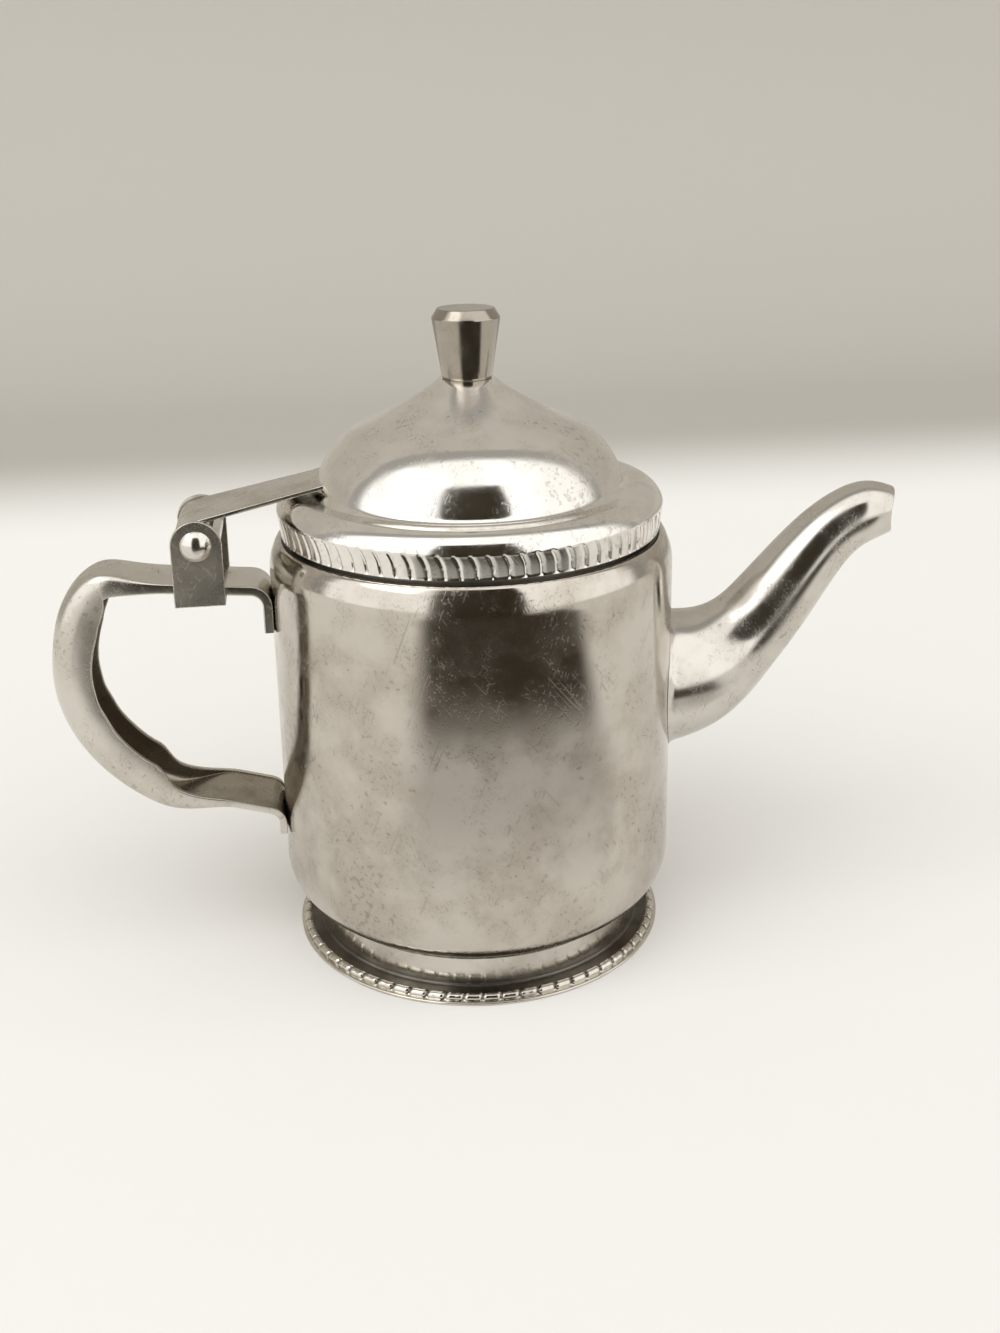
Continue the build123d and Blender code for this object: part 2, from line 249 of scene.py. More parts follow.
def makePot():
    pen = potOutline()
    outer, inner = pen.line(), pen.line(pot["sheet"])

    # The outside dips in a little all over, and more at the dents, but not at the rim or under the pot
    def warp(row, radius, height, angle):
        if row >= len(outer) or height > pot["wallTop"] + pot["calmFrom"] or radius < pot["radius"] / 2:
            return radius, height
        x, y, z = radius * cos(angle), radius * sin(angle), height * pot["waverStretch"]
        dip = pot["waver"] * unevenness(x, y, z, pot["waverSize"])
        for direction, level, width, depth in pot["dents"]:
            across = ((degrees(angle) - direction + 180) % 360 - 180) * radians(1) * radius
            dip += depth * exp(-(across**2 + (height - level) ** 2) / width**2)
        return radius - dip, height

    hole = bpy.data.meshes.new("hole")
    work = bmesh.new()
    place = Matrix.Translation((pot["radius"] * mm, 0, pot["holeHeight"] * mm))
    bmesh.ops.create_cone(
        work, cap_ends=True, segments=pot["holeSides"], depth=pot["holeDepth"] * mm,
        radius1=pot["holeRadius"] * mm, radius2=pot["holeRadius"] * mm,
        matrix=place @ Matrix.Rotation(pi / 2, 4, "Y"),
    )
    work.to_mesh(hole)
    work.free()
    cutter = bpy.data.objects.new("hole", hole)
    bpy.context.scene.collection.objects.link(cutter)
    shape = lathe(outer + inner[::-1], pot["segments"], warp)
    return addPiece("potShell", shape, "pot", "body_shell", cutter=cutter)


potShell = makePot()


# Foot: a soldered collar, a flared flange and a beaded rim
print("turning the foot")
foot = {
    "collar": 30.1, "wall": 0.9, "flare": 0.5, "flange": 1.35, "rim": 34.3, "rimHeight": 0.55,
    "beadRing": 32.95, "bead": 0.78, "beads": 64, "notch": 0.36, "notchWidth": 0.3,
    "notchSlant": 18, "hollow": 0.05, "segmentsPerBead": 12, "beadSteps": 18, "flareSteps": 6,
    "apron": 0.25, "edge": 0.12,
    # The solder under the pot: how far out it starts, a point on its hollow, how far down it ends
    "solderReach": 0.35, "solderHollow": (0.1, 0.25), "solderDrop": 0.7,
}


# Height of the pot's rounded bottom corner at a radius
def cornerHeight(radius):
    across = radius - (pot["radius"] - pot["corner"])
    return pot["floor"] + pot["corner"] - sqrt(pot["corner"] ** 2 - across**2)


def makeFoot():
    inside, base = foot["collar"] - foot["wall"], foot["collar"] + foot["flare"]
    middle = foot["rimHeight"] + foot["bead"] / 2
    low, high = foot["rimHeight"] - middle, foot["flange"] - middle
    start = atan2(high, -sqrt(foot["bead"] ** 2 - high**2))
    end = atan2(low, sqrt(foot["bead"] ** 2 - low**2))
    steps = foot["beadSteps"]
    beadRow = [start + (end - start) * k / steps for k in range(steps + 1)]
    under = foot["rim"] - foot["rimHeight"] - foot["bead"] * 2
    solder, joint = foot["collar"] + foot["solderReach"], cornerHeight(foot["collar"])
    out, down = foot["solderHollow"]
    head = [
        (inside, cornerHeight(inside)), (solder, cornerHeight(solder)), (foot["collar"] + out, joint - down),
        (foot["collar"], joint - foot["solderDrop"]), (foot["collar"], foot["flange"] + foot["flare"]),
    ]
    for k in range(1, foot["flareSteps"]):
        angle = k / foot["flareSteps"] * pi / 2
        head.append((base - foot["flare"] * cos(angle), foot["flange"] + foot["flare"] * (1 - sin(angle))))
    head.append((base, foot["flange"]))
    head.append((foot["beadRing"] + foot["bead"] * cos(start) - foot["apron"], foot["flange"]))
    first = len(head)
    ring = [(foot["beadRing"] + foot["bead"] * cos(a), middle + foot["bead"] * sin(a)) for a in beadRow]
    edge = foot["edge"]
    tail = [
        (foot["rim"] - edge, foot["rimHeight"]), (foot["rim"], foot["rimHeight"] - edge), (foot["rim"], edge),
        (foot["rim"] - edge, 0), (under, 0), (under, foot["flange"] - foot["wall"]),
        (inside, foot["flange"] - foot["wall"] + foot["flare"]),
    ]

    def warp(row, radius, height, angle):
        if not first < row < first + len(ring) - 1:
            return radius, height
        share = angle * foot["beads"] / (2 * pi)
        pitch = 2 * pi * foot["beadRing"] / foot["beads"]
        slide = (radius - foot["beadRing"]) * tan(radians(foot["notchSlant"]))
        gap = ((share + slide / pitch + 0.5) % 1 - 0.5) * pitch
        depth = foot["notch"] * exp(-((gap / foot["notchWidth"]) ** 2))
        depth += foot["hollow"] * (gap / pitch * 2) ** 2
        scale = 1 - depth / foot["bead"]
        return foot["beadRing"] + (radius - foot["beadRing"]) * scale, middle + (height - middle) * scale

    shape = lathe(head + ring + tail, foot["beads"] * foot["segmentsPerBead"], warp)
    return addPiece("footRing", shape, "pot", "foot_ring", angle=50)


footRing = makeFoot()


# Spout: round sections square to a curved centre line, cut to the wall and bowed at the tip
print("drawing the spout")
spout = {
    "wall": 0.8,
    # Reach beyond the wall, height, outside radius and slope of each section
    "stations": [
        (-3.2, 45.4, 12.8, 0.6), (6.2, 47.4, 11.4, 22.6), (13.9, 52.1, 8.6, 40.0), (20.1, 58.8, 7.4, 51.0),
        (27.0, 67.6, 6.4, 49.0), (34.5, 74.3, 5.7, 27.6), (39.0, 75.9, 5.37, 14.0), (43.3, 76.0, 3.95, 6.0),
    ],
    "leave": (1.0, 0.01, -0.12, 1.5), "arrive": (0.99, -0.08, -0.42, -2.0),
    # The tip is cut by a cylinder across it. Start and end are looked for this near to the curve's ends.
    "cutReach": 46.8, "cutHeight": 75.6, "cutRadius": 5.9, "startWithin": 16, "endWithin": 9,
    "rings": 72, "crowding": 0.35, "segments": 96, "solder": 0.7, "solderReach": 1.3, "sink": 0.02,
    "bevel": 0.22,
}


# A smooth curve through points of any number of values, leaving and arriving at the given speeds.
# Its length is measured over the first two values. Returns the length and a function of the way along.
def smoothCurve(points, leave, arrive):
    given = np.array(points, float)
    gaps = np.linalg.norm(np.diff(given[:, :2], axis=0), axis=1)
    size = len(given)
    system, right = np.zeros((size, size)), np.zeros_like(given)
    system[0, 0] = system[-1, -1] = 1
    right[0], right[-1] = leave, arrive
    for k in range(1, size - 1):
        before, after = gaps[k - 1], gaps[k]
        system[k, k - 1 : k + 2] = after, 2 * (before + after), before
        right[k] = 3 * (
            after / before * (given[k] - given[k - 1]) + before / after * (given[k + 1] - given[k])
        )
    speeds = np.linalg.solve(system, right)
    knots = np.concatenate([[0], np.cumsum(gaps)])

    def at(way):
        k = min(max(int(np.searchsorted(knots, way, side="right")) - 1, 0), size - 2)
        gap, u = gaps[k], (way - knots[k]) / gaps[k]
        place = (
            (2 * u**3 - 3 * u**2 + 1) * given[k] + (u**3 - 2 * u**2 + u) * gap * speeds[k]
            + (3 * u**2 - 2 * u**3) * given[k + 1] + (u**3 - u**2) * gap * speeds[k + 1]
        )
        speed = (
            (6 * u**2 - 6 * u) / gap * given[k] + (3 * u**2 - 4 * u + 1) * speeds[k]
            + (6 * u - 6 * u**2) / gap * given[k + 1] + (3 * u**2 - 2 * u) * speeds[k + 1]
        )
        return place, speed

    return knots[-1], at


spoutLength, spoutAt = smoothCurve(spout["stations"], spout["leave"], spout["arrive"])


def spoutPoint(way, angle, inset):
    reach, height, radius, slope = spoutAt(way)[0]
    radius -= inset
    rise = radius * sin(angle)
    return (
        pot["radius"] + reach - rise * sin(radians(slope)),
        radius * cos(angle),
        height + rise * cos(radians(slope)),
    )


# The place between low and high up to which the test fails
def findEdge(test, low, high, halvings=24):
    for step in range(halvings):
        middle = (low + high) / 2
        if test(middle):
            high = middle
        else:
            low = middle
    return low


# The rings of the outer or inner face, from the pot's wall to the cut at the tip
def spoutSide(inset):
    sunk = pot["radius"] - spout["sink"]
    rings = [[] for k in range(spout["rings"] + 1)]
    for j in range(spout["segments"]):
        angle = 2 * pi * j / spout["segments"]

        def outside(way):
            x, y, z = spoutPoint(way, angle, inset)
            return hypot(x, y) > sunk

        def insideCut(way):
            x, y, z = spoutPoint(way, angle, inset)
            across, up = x - pot["radius"] - spout["cutReach"], z - spout["cutHeight"]
            return hypot(across, up) < spout["cutRadius"]

        start = findEdge(outside, 0, spout["startWithin"])
        end = findEdge(insideCut, spoutLength - spout["endWithin"], spoutLength)
        for k in range(spout["rings"] + 1):
            share = k / spout["rings"]
            share = share + spout["crowding"] * share * (share - 1)
            x, y, z = spoutPoint(start + (end - start) * share, angle, inset)
            away = hypot(x, y) - pot["radius"]
            if inset == 0 and away < spout["solderReach"]:
                flare = spout["solder"] * (1 - max(away, 0) / spout["solderReach"]) ** 2
                y += flare * cos(angle)
                z += flare * sin(angle)
                grip = (sunk + max(away, 0)) / hypot(x, y)
                x, y = x * grip, y * grip
            rings[k].append((x, y, z))
    return rings


def makeSpout():
    loops = spoutSide(0) + spoutSide(spout["wall"])[::-1]
    shape = skinLoops(loops, closed=True)
    return addPiece("spoutTube", shape, "pot", "spout", angle=45, bevel=spout["bevel"])


spoutTube = makeSpout()


# Handle: one strip, flat where it meets the wall and pressed into a channel round the loop
print("pressing the handle")
handle = {
    "strip": 1.1, "flatCorner": 0.3, "tip": 0.25, "bury": 0.3,
    "topHeight": 69.1, "topSlope": 5.0, "topWidth": 12.0, "topDepth": 1.7, "topTab": 8.4,
    "topReach": 17.0, "lowHeight": 25.3, "lowSlope": 16.0, "lowWidth": 13.8, "lowDepth": 1.3,
    "lowTab": 3.4, "lowReach": 8.5,
    "bend": 2.2, "width": 10.8, "depth": 7.3, "corner": 4.0, "pressedFrom": 0.27, "pressedTo": 0.24,
    # Outer face of the loop from the crown to the foot: reach beyond the wall, height
    "loop": [
        (24.3, 72.0), (29.0, 72.85), (34.3, 69.6), (38.1, 60.7), (38.8, 51.75),
        (35.8, 41.3), (29.0, 32.4), (20.7, 27.5), (13.5, 27.8),
    ],
    "loopSteps": 96, "bendSteps": 8, "turnedAbout": -0.2, "waver": 0.3, "waverSize": 6.0,
    "sectionPoints": 48,
}


# Heights of the strip's upper and lower run at a distance from the wall
def topFace(reach):
    return handle["topHeight"] + reach * tan(radians(handle["topSlope"]))


def lowFace(reach):
    return handle["lowHeight"] + reach * tan(radians(handle["lowSlope"]))


# Points round a closed loop of corners, each rounded to its own radius
def roundedLoop(corners, radii, steps=5):
    loop = []
    for k, (corner, radius) in enumerate(zip(corners, radii)):
        here = Vector(corner)
        before = (Vector(corners[k - 1]) - here).normalized()
        after = (Vector(corners[(k + 1) % len(corners)]) - here).normalized()
        half = before.angle(after) / 2
        back = radius / tan(half)
        middle = here + (before + after).normalized() * radius / sin(half)
        start, end = here + before * back - middle, here + after * back - middle
        for j in range(steps + 1):
            loop.append(tuple(middle + start.slerp(end, j / steps) * start.length))
    return loop


# Section of the channel, its back at 0 and its edges at the depth. The edges' and the inner corners'
# roundings are held to what the sides have room for.
def stripSection(width, depth, corner):
    half, strip = width / 2, handle["strip"]
    inner = min(max(corner - strip, handle["flatCorner"] / 2), (depth - strip) * 0.5)
    tip = min(handle["tip"], (depth - strip) * 0.45)
    corners = [
        (-half, depth), (-half, 0), (half, 0), (half, depth),
        (half - strip, depth), (half - strip, strip), (strip - half, strip), (strip - half, depth),
    ]
    return roundedLoop(corners, [tip, corner, corner, tip, tip, inner, inner, tip])


# A path of place and heading along two straights with a round bend between them
def bentEnd(points, radius):
    first, corner, last = (Vector(p) for p in points)
    before, after = (first - corner).normalized(), (last - corner).normalized()
    half = before.angle(after) / 2
    middle = corner + (before + after).normalized() * radius / sin(half)
    start = corner + before * radius / tan(half) - middle
    end = corner + after * radius / tan(half) - middle
    heading = atan2(-before.y, -before.x)
    path = [(first.x, first.y, heading)]
    for k in range(handle["bendSteps"] + 1):
        spoke = start.slerp(end, k / handle["bendSteps"]) * start.length
        place = middle + spoke
        turn = atan2(spoke.x, -spoke.y)
        if cos(turn - heading) < handle["turnedAbout"]:
            turn += pi  # the bend goes the other way round
        path.append((place.x, place.y, turn))
    path.append((last.x, last.y, atan2(after.y, after.x)))
    return path


def handlePath():
    wall = -pot["radius"] + handle["bury"]
    start = (-pot["radius"] - handle["topReach"], topFace(handle["topReach"]))
    end = (-pot["radius"] - handle["lowReach"], lowFace(handle["lowReach"]))
    top = bentEnd(
        [(wall, handle["topHeight"] - handle["topTab"]), (wall, topFace(-handle["bury"])), start],
        handle["bend"] + handle["topDepth"],
    )
    outer = wall - handle["lowDepth"]
    corner = (outer, lowFace(handle["lowDepth"] - handle["bury"]))
    low = bentEnd([end, corner, (outer, handle["lowHeight"] - handle["lowTab"])], handle["bend"])
    points = [start] + [(-pot["radius"] - reach, height) for reach, height in handle["loop"]] + [end]
    leave = (-cos(radians(handle["topSlope"])), sin(radians(handle["topSlope"])))
    arrive = (cos(radians(handle["lowSlope"])), -sin(radians(handle["lowSlope"])))
    length, at = smoothCurve(points, leave, arrive)
    loop = []
    for k in range(handle["loopSteps"] + 1):
        (x, z), (alongX, alongZ) = at(length * k / handle["loopSteps"])
        loop.append((x, z, atan2(alongZ, alongX)))
    return (
        [(x, z, a, 0) for x, z, a in top[:-1]]
        + [(x, z, a, k / handle["loopSteps"]) for k, (x, z, a) in enumerate(loop)]
        + [(x, z, a, 1) for x, z, a in low[1:]]
    )


def makeHandle():
    loops = []
    for x, z, angle, along in handlePath():
        share = eased(min(along / handle["pressedFrom"], (1 - along) / handle["pressedTo"], 1))
        flatWidth = handle["topWidth"] + (handle["lowWidth"] - handle["topWidth"]) * along
        flatDepth = handle["topDepth"] + (handle["lowDepth"] - handle["topDepth"]) * along
        waver = handle["waver"] * share * noise.noise(Vector((x, 0, z)) / handle["waverSize"])
        section = stripSection(
            flatWidth + (handle["width"] - flatWidth) * share,
            flatDepth + (handle["depth"] - flatDepth) * share + waver,
            handle["flatCorner"] + (handle["corner"] - handle["flatCorner"]) * share,
        )
        loops.append([(x - v * sin(angle), u, z + v * cos(angle)) for u, v in section])
    return addPiece("handleStrip", skinLoops(loops), "pot", "handle", angle=40)


handleStrip = makeHandle()


# Hinge: a strap under the strip with two ears, a shouldered rivet and the lid's curled arm
print("making the hinge")
hinge = {
    "pinReach": 11.75, "pinLift": 8.05, "barrel": 3.1, "shank": 1.6, "head": 2.65, "headHeight": 1.4,
    "earInside": 16.8, "ear": 1.1, "armSheet": 0.8, "armSlope": 12.4, "armEnd": 13.6, "curl": 300,
    "pinClearance": 0.05, "sideClearance": 0.3, "armEdge": 0.18, "armColumns": 15, "armSink": 0.15,
    # The arm's long edges are eased: share of the half width from the side, share of the easing there
    "armEase": [(0, 1), (0.012, 0.3), (0.03, 0)],
    "curlSteps": 48, "runSteps": 8, "strapBevel": 0.18, "headSteps": 12, "rivetSides": 64,
}
pinX = -pot["radius"] - hinge["pinReach"]
pinZ = topFace(hinge["pinReach"]) + hinge["pinLift"]


def makeRivet():
    inside = hinge["earInside"] / 2
    outside = inside + hinge["ear"]
    crown = outside + hinge["headHeight"]
    size = (hinge["head"] ** 2 + hinge["headHeight"] ** 2) / (2 * hinge["headHeight"])
    half = [(0, crown)]
    for k in range(1, hinge["headSteps"] + 1):
        across = hinge["head"] * k / hinge["headSteps"]
        half.append((across, crown - size + sqrt(size**2 - across**2)))
    half += [
        (hinge["head"], outside), (hinge["shank"], outside), (hinge["shank"], inside),
        (hinge["barrel"], inside),
    ]
    outline = half + [(r, -h) for r, h in half[::-1]]
    points, faces = lathe(outline, hinge["rivetSides"])
    points = [(pinX + x, z, pinZ + y) for x, y, z in points]
    return addPiece("hingeRivet", (points, faces), "pot", "hinge_rivet", angle=40)


hingeRivet = makeRivet()
hingeStrap = easedNode("hingeStrap", "hinge_strap", "pot", hinge["strapBevel"])


# Lid: a spun dome with an ogee to the knob's seat and a gadrooned bead round the rim
print("spinning the lid")
lid = {
    "gap": 0.8, "skirtOverlap": 0.815, "skirtFlare": 0.6, "rimHeight": 4.1, "beadWidth": 3.6,
    "crown": (0.35, 0.72), "domeInset": 7.2, "domeRise": 8.6, "domeFillet": 1.5,
    "ogeeRadius": 18.9, "ogeeRise": 18.2, "ogeeHollow": 0.5, "height": 26.2, "seat": 4.9, "sheet": 0.7,
    "gadroons": 80, "segmentsPerGadroon": 14, "groove": 0.2, "grooveWidth": 0.3, "shingle": 0.1,
    "lean": 0.1, "curlFrom": 2.0, "curl": 0.15, "gadroonTop": 4.5, "gadroonFade": 0.5,
    "gadroonFoot": 0.25, "waverFrom": 1, "waver": 0.05, "waverSize": 17.0, "screwHole": 1.6,
    "domeMargin": 0.5, "bezelBevel": 0.12,
}
potLine = potOutline().line()
crestZ = max(z for r, z in potLine)
shoulderRun = (1 - cos(radians(pot["shoulderTurn"]))) * (pot["shoulder"] - pot["crest"])
galleryRadius = pot["radius"] - shoulderRun - 2 * pot["crest"]
lidBase = crestZ + lid["gap"]
lidSkirt = galleryRadius + lid["skirtOverlap"]
lidRim = lidSkirt + lid["skirtFlare"]
seatZ = lidBase + lid["height"]


def lidOutline():
    slope = atan2(lid["ogeeRise"] - lid["height"], lid["ogeeRadius"] - lid["seat"])
    chord = hypot(lid["ogeeRise"] - lid["height"], lid["ogeeRadius"] - lid["seat"])
    dip = 2 * atan2(lid["ogeeHollow"] * cos(slope), chord / 2)
    pen = Outline(lid["screwHole"], seatZ, 0).run(lid["seat"] - lid["screwHole"], pieces=3)
    pen.points.append((lid["seat"], seatZ, slope - dip))
    pen.to(lid["ogeeRadius"], lidBase + lid["ogeeRise"], step=1.2)
    pen.to(lidRim - lid["domeInset"], lidBase + lid["domeRise"])
    pen.arc(lid["domeFillet"], -degrees(pen.points[-1][2]), step=8)
    ledge = pen.points[-1][1]
    pen.run(lidRim - lid["beadWidth"] - pen.points[-1][0], pieces=2)
    start = Vector((lidRim - lid["beadWidth"], ledge))
    rim = lidBase + lid["rimHeight"]
    crown = Vector((lidRim - lid["beadWidth"] * lid["crown"][0], rim + (ledge - rim) * lid["crown"][1]))
    end = Vector((lidRim, rim))
    whole, first, rest = end - start, crown - start, end - crown
    bulge = atan2(whole.cross(first), whole.dot(first)) + atan2(rest.cross(whole), rest.dot(whole))
    pen.points.append((start.x, start.y, atan2(whole.y, whole.x) + bulge))
    pen.to(end.x, end.y)
    drop = Vector((lidSkirt - lidRim, -lid["rimHeight"]))
    pen.points.append((end.x, end.y, atan2(drop.y, drop.x)))
    return pen.run(drop.length, pieces=16)


def makeLid():
    pen = lidOutline()
    outer, inner = pen.line(), pen.line(-lid["sheet"])
    # Distance up the surface from the bottom of the skirt
    climb = [0] * len(outer)
    for k in range(len(outer) - 2, -1, -1):
        climb[k] = climb[k + 1] + hypot(outer[k][0] - outer[k + 1][0], outer[k][1] - outer[k + 1][1])
    pitch = 2 * pi * lidRim / lid["gadroons"]

    def warp(row, radius, height, angle):
        if row >= len(outer):
            return radius, height
        up = climb[row]
        if up > lid["gadroonTop"] + lid["waverFrom"]:
            x, y = radius * cos(angle), radius * sin(angle)
            return radius - lid["waver"] * unevenness(x, y, height, lid["waverSize"]), height
        slide = lid["lean"] * up + lid["curl"] * max(up - lid["curlFrom"], 0) ** 2
        share = (angle * lidRim + slide) / pitch % 1
        across = min(share, 1 - share) * pitch
        # The grooves run out at the top of the bead and at the bottom of the skirt
        fade = min(max((lid["gadroonTop"] - up) / lid["gadroonFade"], 0), 1)
        fade *= min(up / lid["gadroonFoot"], 1)
        depth = lid["groove"] * exp(-((across / lid["grooveWidth"]) ** 2)) + lid["shingle"] * share
        depth *= eased(fade)
        heading = pen.points[row][2]
        return radius + depth * sin(heading), height - depth * cos(heading)

    shape = lathe(outer + inner[::-1], lid["gadroons"] * lid["segmentsPerGadroon"], warp)
    return addPiece("lidShell", shape, "lid", "lid_shell", angle=50)


lidShell = makeLid()
lidBezel = easedNode("lidBezel", "lid_bezel", "lid", lid["bezelBevel"])


domeEdge = lidRim - lid["domeInset"]
domeLine = [(z, r) for r, z in lidOutline().line() if lid["seat"] < r < domeEdge + lid["domeMargin"]]


# Radius of the lid's outer face at a height on the dome
def domeRadius(height):
    for (highZ, highR), (lowZ, lowR) in zip(domeLine, domeLine[1:]):
        if lowZ < highZ and lowZ <= height <= highZ:
            return lowR + (highR - lowR) * (height - lowZ) / (highZ - lowZ)
    return domeLine[-1][1]


def makeArm():
    inner = hinge["barrel"] + hinge["pinClearance"]
    outer = inner + hinge["armSheet"]
    slope = radians(hinge["armSlope"])
    first = pi / 2 + slope
    halfCurl, halfEnd = hinge["earInside"] / 2 - hinge["sideClearance"], hinge["armEnd"] / 2
    run = abs(domeEdge + pinX)

    # How far along the face of the arm that leaves the curl at this radius meets the dome
    def reachDome(radius, y):
        def inDome(way):
            x = pinX + radius * cos(first) + way * cos(slope)
            z = pinZ + radius * sin(first) + way * sin(slope)
            return hypot(x, y) <= domeRadius(z) - hinge["armSink"]

        return findEdge(inDome, 0, -pinX, halvings=30)

    loops = []
    ease = [(share, shrink * hinge["armEdge"]) for share, shrink in hinge["armEase"]]
    columns = [(share - 1, shrink) for share, shrink in ease]
    columns += [(-1 + 2 * k / hinge["armColumns"], 0) for k in range(1, hinge["armColumns"])]
    columns += [(1 - share, shrink) for share, shrink in ease[::-1]]
    for share, shrink in columns:
        ends = reachDome(outer, halfEnd * share), reachDome(inner, halfEnd * share)
        ring = []
        for radius, length, way in ((outer - shrink, ends[0], 1), (inner + shrink, ends[1], -1)):
            part = []
            for k in range(hinge["runSteps"], 0, -1):
                a = cos(slope) * length * k / hinge["runSteps"]
                b = sin(slope) * length * k / hinge["runSteps"]
                part.append((radius * cos(first) + a, radius * sin(first) + b, a))
            for k in range(hinge["curlSteps"] + 1):
                angle = first + radians(hinge["curl"]) * k / hinge["curlSteps"]
                part.append((radius * cos(angle), radius * sin(angle), 0))
            ring += part[::way]
        loop = []
        for a, b, along in ring:
            width = halfCurl + (halfEnd - halfCurl) * min(max(along, 0) / run, 1)
            loop.append((pinX + a, width * share, pinZ + b))
        loops.append(loop)
    return addPiece("lidArm", skinLoops(loops), "lid", "lid_arm", angle=40)


lidArm = makeArm()


# Knob: a turned grip, narrow at the foot, with a chamfered top
knob = {
    "height": 12.0, "foot": 4.3, "radius": 5.95, "chamfer": 1.0, "chamferHeight": 1.6,
    "edge": 0.14, "edgeSteps": 4, "topRing": 3.6, "sides": 128,
}


def makeKnob():
    top = seatZ + knob["height"]
    shoulder = top - knob["chamferHeight"]
    corners = [
        (0, seatZ), (knob["foot"], seatZ), (knob["radius"], shoulder),
        (knob["radius"] - knob["chamfer"], top), (0, top),
    ]
    outline = [corners[0]]
    for before, here, after in zip(corners, corners[1:], corners[2:]):
        one = (Vector(before) - Vector(here)).normalized() * knob["edge"]
        two = (Vector(after) - Vector(here)).normalized() * knob["edge"]
        for k in range(knob["edgeSteps"] + 1):
            share = k / knob["edgeSteps"]
            outline.append(tuple(Vector(here) + one * (1 - share) ** 2 + two * share**2))
    outline += [(knob["topRing"], top), corners[-1]]
    return addPiece("knobGrip", lathe(outline, knob["sides"]), "lid", "knob", angle=40)


knobGrip = makeKnob()


class Wire:
    # A socket in a shader. Sums and products of wires add the Math nodes that work them out.
    def __init__(self, shop, socket):
        self.shop = shop
        self.socket = socket

    def math(self, operation, *values):
        return self.shop.add("Math", {"operation": operation}, dict(enumerate(values)))

    def __add__(self, other):
        return self.math("ADD", self, other)

    def __radd__(self, other):
        return self.math("ADD", other, self)

    def __sub__(self, other):
        return self.math("SUBTRACT", self, other)

    def __rsub__(self, other):
        return self.math("SUBTRACT", other, self)

    def __mul__(self, other):
        return self.math("MULTIPLY", self, other)

    def __rmul__(self, other):
        return self.math("MULTIPLY", other, self)

    def __abs__(self):
        return self.math("ABSOLUTE", self)

    def root(self):
        return self.math("SQRT", self)

    def fraction(self):
        return self.math("FRACT", self)

    # The angle of the direction (other, self)
    def angle(self, other):
        return self.math("ARCTAN2", self, other)

    def most(self, other):
        return self.math("MAXIMUM", self, other)

    # 0 below low, 1 above high, smooth between
    def between(self, low, high):
        return self.shop.add(
            "MapRange", {"interpolation_type": "SMOOTHSTEP"},
            {"Value": self, "From Min": low, "From Max": high},
        )


class Shop:
    # The nodes of one material or of the world
    def __init__(self, owner):
        owner.use_nodes = True
        self.tree = owner.node_tree

    # Adds a node of any type: its settings, then its sockets' values or wires
    def add(self, kind, settings=None, sockets=None, output=0):
        node = self.tree.nodes.new("ShaderNode" + kind)
        for key, value in (settings or {}).items():
            setattr(node, key, value)
        self.feed(node, sockets or {})
        return Wire(self, node.outputs[output])

    def feed(self, node, sockets):
        for key, value in sockets.items():
            if isinstance(value, Wire):
                self.tree.links.new(value.socket, node.inputs[key])
            else:
                node.inputs[key].default_value = value

    # A Mix node's colours are its sockets 6 and 7, and their mixture is its output 2
    def mix(self, factor, one, two):
        return self.add("Mix", {"data_type": "RGBA"}, {"Factor": factor, 6: one, 7: two}, 2)

    def place(self):
        return self.add("TexCoord", output="Object")

    def axis(self, place, name):
        return self.add("SeparateXYZ", {}, {"Vector": place}, name)

    def noise(self, place, scale, detail=2.0, coarse=0.5):
        return self.add(
            "TexNoise", {}, {"Vector": place, "Scale": scale, "Detail": detail, "Roughness": coarse}
        )


# The wear that all the finishes share. Pairs are the values between which a mark comes up.
wear = {
    # Thin marks that run one way: turn, how many to a metre along and across, how rare they are
    "lines": [
        ((0.5, 0.9, 0.3), 38, 2300, 0.70), ((-0.7, -1.2, -0.4), 30, 1900, 0.71),
        ((1.3, 2.2, 0.8), 48, 2900, 0.72), ((2.3, 0.2, 1.4), 34, 2100, 0.715),
    ],
    "lineEdge": 0.05, "hazeScale": 62.0, "mottleScale": 170.0, "grainScale": 700.0, "pitScale": 950.0,
    "scratches": (0.42, 0.62), "pits": (0.385, 0.43), "blotches": (0.40, 0.62), "hazeShare": 0.6,
    "scratchTone": 0.5, "scratchShow": 0.25, "pitTone": 0.35,
    # Colour and least strength of the painted shade in the foot's recesses
    "paintedShadeColour": (0.035, 0.026, 0.016), "paintedShadeLeast": 0.75,
    "hazeRough": 0.1, "mottleRough": 0.06, "scratchRough": 0.10, "pitRough": 0.15, "paintedShadeRough": 0.25,
    "mottleRise": 0.35, "grainRise": 0.12, "scratchDepth": 0.5, "pitDepth": 0.6,
    "bump": 0.1, "bumpDistance": 0.00012,
}
